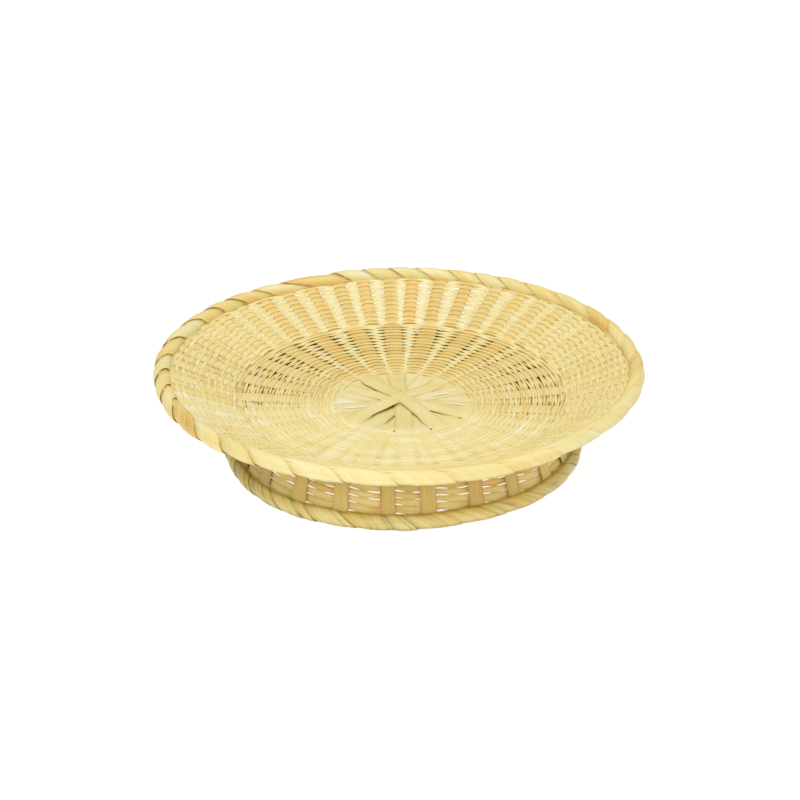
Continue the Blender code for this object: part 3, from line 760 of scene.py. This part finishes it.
# the angles, from the front round by the right, at which an upper edge crosses the top of the rim
RIM_TOPS = (6, 20, 33, 47, 61, 75, 84.5, 94.5, 104.5, 114, 124.5, 136, 145.5, 153.5, 160, 167, 175.5, 182.5, 189.5, 197, 212, 220.5, 229, 236, 244.5, 257, 267, 275, 284, 291.5, 303.5, 313, 321.5, 331.5, 342, 354)


ROUND = (0, 30, 60, 120, 150, 180, 210, 300, 330, 360)          # degrees from the front round by the right
RIM_RELIEF = (0.24, 0.28, 0.38, 0.4, 0.6, 0.85, 1.0, 1.0, 0.42, 0.24)
# painted shade: the rim's tone by angle, darker and warmer at the sides, where less light falls
RIM_SHADE_BY_ANGLE = (0.04, 0.04, 0.06, 0.07, 0.01, -0.03, 0.03, 0.08, 0.04, 0.04)
RIM_GLOOM = (0.12, 0.14, 0.22, 0.40, 0.65, 0.85, 1.0, 1.0, 0.40, 0.12)


def rim_girdle(degrees, where):
    """Shade along the lower edge, and a thin line of it along the top of the outer side at the back."""
    return 0.60 * smooth((-8 - degrees) / 62) + 0.30 * np.exp(-((degrees - 62) / 11) ** 2) * rim_slant_part(where)


wraps("rim_wrap_splint", RIM_R, RIM_Z, 3.85, RIM_TOPS, rim_advance, 0.5, 71, (0.14, 0.34), ["rim_wrap"], bulge=0.4, slanted=(rim_slant, rim_slant_part),
      relief=(ROUND, RIM_RELIEF), shade_by_angle=(ROUND, RIM_SHADE_BY_ANGLE), gloom=(ROUND, RIM_GLOOM), girdle=rim_girdle, special={1: 0.08, 4: 0.06, 7: 0.26, 8: 0.10, 10: 0.28, 12: 0.14, 13: 0.16, 18: 0.14, 20: 0.24, 22: 0.14, 24: 0.16, 26: 0.10, 28: 0.12, 30: 0.24})


def foot_advance(a):
    d = (272 - np.degrees(a)) / 364
    return np.interp(d, (0, 0.2, 0.40, 0.50, 0.62, 0.75, 0.85, 1.0), (0, 0.01, 0.04, 0.13, 0.42, 0.78, 0.95, 1.0))


def foot_girdle(degrees, where):
    """Painted shade where the border meets the wefts and where it stands on the table, and more on the left, where less
    light falls; also an even darkening all round.
    """
    left = math.exp(-(((where - 292) / 22) ** 2))
    return 0.19 + 0.42 * np.exp(-((degrees - 88) / 17) ** 2) + 0.42 * smooth((-2 - degrees) / 45) + 0.24 * left


FOOT_TOPS = (11.5, 27, 43, 59.5, 73, 88, 101, 115, 127, 142, 154, 169, 183, 195, 210, 222, 237, 249, 263, 275, 288.5, 301, 313, 327, 338.7, 352.8, 358.7)
FOOT_RELIEF = (0.9, 0.5, 0.9, 1.1, 0.7, 1.0, 0.8, 0.7, 1.0, 0.9)
FOOT_GLOOM = (0.8, 0.35, 0.8, 0.6, 0.5, 0.6, 0.6, 0.8, 0.6, 0.8)
wraps("foot_wrap_splint", FOOT_R + 0.3, FOOT_Z - 0.25, 4.15, FOOT_TOPS, foot_advance, 0.45, 171, (0.26, 0.42), ["foot_wrap"], bulge=0.14, floor=0.25, overlap=3.0, lift=0.12, splits=6, girdle=foot_girdle,
      relief=(ROUND, FOOT_RELIEF), gloom=(ROUND, FOOT_GLOOM), special={2: 0.08, 9: 0.08, 14: 0.06, 20: 0.08, 25: 0.06}, material=BORDER_MAT)

# ---------------------------------------------------------------- the foot's wefts and inner stakes
for row in range(5):
    level = 12.55 + 4.12 * row
    phi = np.linspace(0, TAU + 0.05, 24 * 22)
    # in each bay the strip runs down to the right, and comes back up behind the stake
    bay = ((np.degrees(phi) - 10) / 15) % 1.0           # 0 and 1 behind an outer stake
    saw = np.interp(bay, (0, 0.16, 0.84, 1.0), (0.0, 1.0, -1.0, 0.0))
    saw = 0.5 * saw + 0.5 * np.interp((bay + 0.02) % 1.0, (0, 0.16, 0.84, 1.0), (0.0, 1.0, -1.0, 0.0))
    along = (level - FOOT_Z) / math.sin(FOOT_DIR)
    r0, z0 = foot_point(along, 0)
    push = np.cos(np.radians(np.degrees(phi) - 2.5) * 24)   # out over the inner stakes, in behind the outer ones
    r = r0 - 0.35 + 0.42 * push + 0.10 * ring_waves(1500 + row, phi, 3)
    z = level + (0.8 if row == 0 else 1.1) * saw + 0.15 * ring_waves(1600 + row, phi, 3)
    if row == 0:
        z = z - 0.40
    path = polar(r, phi, z)
    out = np.stack([np.cos(phi), np.sin(phi), 0 * phi], -1)
    across = out * math.cos(FOOT_DIR) + np.array([0, 0, 1.0]) * math.sin(FOOT_DIR)
    normal = out * math.sin(FOOT_DIR) - np.array([0, 0, 1.0]) * math.cos(FOOT_DIR)
    # it is widest over the inner stake, so that slits stay open only beside the outer stakes
    inner_stake = ((np.degrees(phi) - FIRST_SPOKE) / 15 + 0.5) % 1.0 - 0.5
    behind = smooth((np.sin(phi) + 0.05) / 0.4)          # the inside of the foot's back half lies in shade
    wide = (3.50 + (0.45 if row < 3 else 1.1) * behind + 1.0 * np.exp(-(inner_stake / 0.115) ** 2)) * (1 + 0.04 * ring_waves(1700 + row, phi, 3))
    if row == 0:
        wide = wide + 1.25         # the lowest row sits down on the border
    across = across + normal * -0.07
    grid = ribbon(path, across, wide, 5, 0.05, normal)
    w = Weaver(f"foot_weft_row_{row + 1}")
    tone = 0.48 + (0.04, -0.06, 0.05, -0.04, 0.08)[row] + 0.12 * ring_waves(1800 + row, phi, 2)
    where = (np.degrees(phi) + 90) % 360
    # painted shade: darker high up under the rim's overhang and at the left end, lighter at the right front; the inner
    # faces are painted darker still, most in the back half, and the rows' edges a little darker
    gloom = 0.17 - 0.16 * np.exp(-((where - 60) / 18) ** 2) + 0.34 * smooth((z - 21) / 9) + 0.38 * np.exp(-((where - 296) / 24) ** 2)
    tone = tone + 0.10 * waves(1900 + row, np.degrees(phi), 31.0, 5)
    w.strip(grid, 0.45, tone[:, None] + np.array([0.07, -0.01, -0.05, 0.01, 0.07])[None], 210 + row * 5.1, below=0.2, shade=gloom[:, None] + np.array([0.14, 0.01, -0.01, 0.0, 0.05])[None] + 0.10 * knots(1950 + row, np.degrees(phi) / 7.5)[:, None], shade_below=0.25 + 0.45 * behind[:, None])
    if row == 4:
        # a narrow strand closes the foot under the base
        path = polar(98.9 + 0.42 * push, phi, 33.1 + 1.0 * saw)
        w.strip(ribbon(path, across, wide, 5, 0.12, normal), 0.45, 0.5, 233.0, below=0.2, shade=gloom[:, None] + 0.05, shade_below=0.25 + 0.45 * behind[:, None])
        # a second narrow strand just under the base's edge, painted dark as the shade there
        path = polar(98.3 + 0.30 * push, phi, 35.95 + 0.15 * ring_waves(1650, phi, 3))
        w.strip(ribbon(path, across, 2.3, 4, 0.08, normal), 0.4, 0.5, 237.0, below=0.2, shade=0.35, shade_below=0.3)
    w.make(FOOT_MAT, [f"foot_weft_{row + 1}"])

w = Weaver("foot_inner_stake_splits")
for k in range(SPOKES):
    phi = math.radians(FIRST_SPOKE + 15 * k)
    line = [foot_point(a, -0.95) for a in (-1.5, 6, 14, 21, FOOT_LEN - 2.0)]
    line = resample(line, 2.0)
    n = len(line)
    sideways = np.array([-math.sin(phi), math.cos(phi), 0])
    path = polar(line[:, 0], np.full(n, phi), line[:, 1])
    normal = np.array([math.cos(phi) * math.sin(FOOT_DIR), math.sin(phi) * math.sin(FOOT_DIR), -math.cos(FOOT_DIR)])
    grid = ribbon(path, np.repeat(sideways[None], n, 0), 3.9 * (1 + rng.uniform(-0.06, 0.06)), 5, 0.08, np.repeat(normal[None], n, 0))
    # painted shade on the inner face, darker in the back half
    w.strip(grid, 0.4, 0.50 + 0.10 * rng.uniform(-1, 1), 300 + k * 1.7, shade=0.20 + 0.55 * float(smooth((math.sin(phi) + 0.05) / 0.4)), shade_below=-0.1)
w.make(STAKE_MAT, ["foot_inner_stakes"])

# ---------------------------------------------------------------- floor, light, camera
bpy.ops.mesh.primitive_plane_add(size=40.0, location=(0, 0, 0))
floor = bpy.context.object
floor.name = "floor"
fm = bpy.data.materials.new("studio_floor")
fm.use_nodes = True
fb = fm.node_tree.nodes["Principled BSDF"]
fb.inputs["Base Color"].default_value = (0.26, 0.26, 0.26, 1)
fb.inputs["Emission Color"].default_value = (1.0, 1.0, 1.0, 1)
fb.inputs["Emission Strength"].default_value = 0.90
fb.inputs["Roughness"].default_value = 0.9
fb.inputs["Specular IOR Level"].default_value = 0.1
# the floor gives light all round, but not under the back half of the basket: there a painted shadow, a dark olive-brown
# patch, stands for the basket's own shade
fn, fl = fm.node_tree.nodes.new, fm.node_tree.links.new
spot = fn("ShaderNodeTexCoord")
moved = fn("ShaderNodeVectorMath")
moved.operation = "MULTIPLY_ADD"
moved.inputs[1].default_value = (1 / 0.095, 1 / 0.050, 0)
moved.inputs[2].default_value = (0, -0.054 / 0.050, 0)
fl(spot.outputs["Object"], moved.inputs[0])
distance = fn("ShaderNodeVectorMath")
distance.operation = "LENGTH"
fl(moved.outputs[0], distance.inputs[0])
lit = fn("ShaderNodeMapRange")
lit.interpolation_type = "SMOOTHSTEP"
lit.inputs["From Min"].default_value, lit.inputs["From Max"].default_value = 0.82, 1.08
fl(distance.outputs["Value"], lit.inputs["Value"])
for socket, shaded, open_floor in (("Emission Color", (0.09, 0.056, 0.011), (1, 1, 1)), ("Base Color", (0.10, 0.07, 0.03), (0.26, 0.26, 0.26))):
    mixed = fn("ShaderNodeMix")
    mixed.data_type = "RGBA"
    mixed.inputs["A"].default_value, mixed.inputs["B"].default_value = (*shaded, 1), (*open_floor, 1)
    fl(lit.outputs["Result"], mixed.inputs["Factor"])
    fl(mixed.outputs["Result"], fb.inputs[socket])
floor.data.materials.append(fm)

world = bpy.data.worlds.new("studio")
bpy.context.scene.world = world
world.use_nodes = True
world.node_tree.nodes["Background"].inputs["Color"].default_value = (1, 1, 1, 1)
world.node_tree.nodes["Background"].inputs["Strength"].default_value = 0.45


def area(name, at, to, size, power, colour=(1, 1, 1)):
    data = bpy.data.lights.new(name, "AREA")
    data.shape, data.size, data.energy, data.color = "DISK", size, power, colour
    ob = bpy.data.objects.new(name, data)
    ob.location = at
    ob.rotation_mode = "QUATERNION"
    ob.rotation_quaternion = (Vector(to) - Vector(at)).to_track_quat("-Z", "Y")
    bpy.context.scene.collection.objects.link(ob)
    return ob


area("key", (0.25, 0.35, 1.7), (0, 0, 0.03), 0.9, 11)
area("fill", (-0.25, -1.4, 1.15), (0, 0, 0.03), 1.0, 13)

scene = bpy.context.scene
scene.view_settings.view_transform = "Standard"
scene.view_settings.look = "None"
scene.view_settings.exposure = 0.0

cam_data = bpy.data.cameras.new("camera")
cam_data.sensor_width = 36.0
cam_data.lens = 1.604 * 1600 / 800 * 36.0
cam_data.clip_start, cam_data.clip_end = 0.05, 30.0
cam = bpy.data.objects.new("camera", cam_data)
elevation = math.radians(27.062)
back = Vector((0, -math.cos(elevation), math.sin(elevation)))
cam.location = back * 1.6
cam.rotation_mode = "QUATERNION"
cam.rotation_quaternion = (-back).to_track_quat("-Z", "Y")
cam_data.shift_x = 0.0
cam_data.shift_y = (447.468 - 400.0) / 800.0
scene.collection.objects.link(cam)
scene.camera = cam
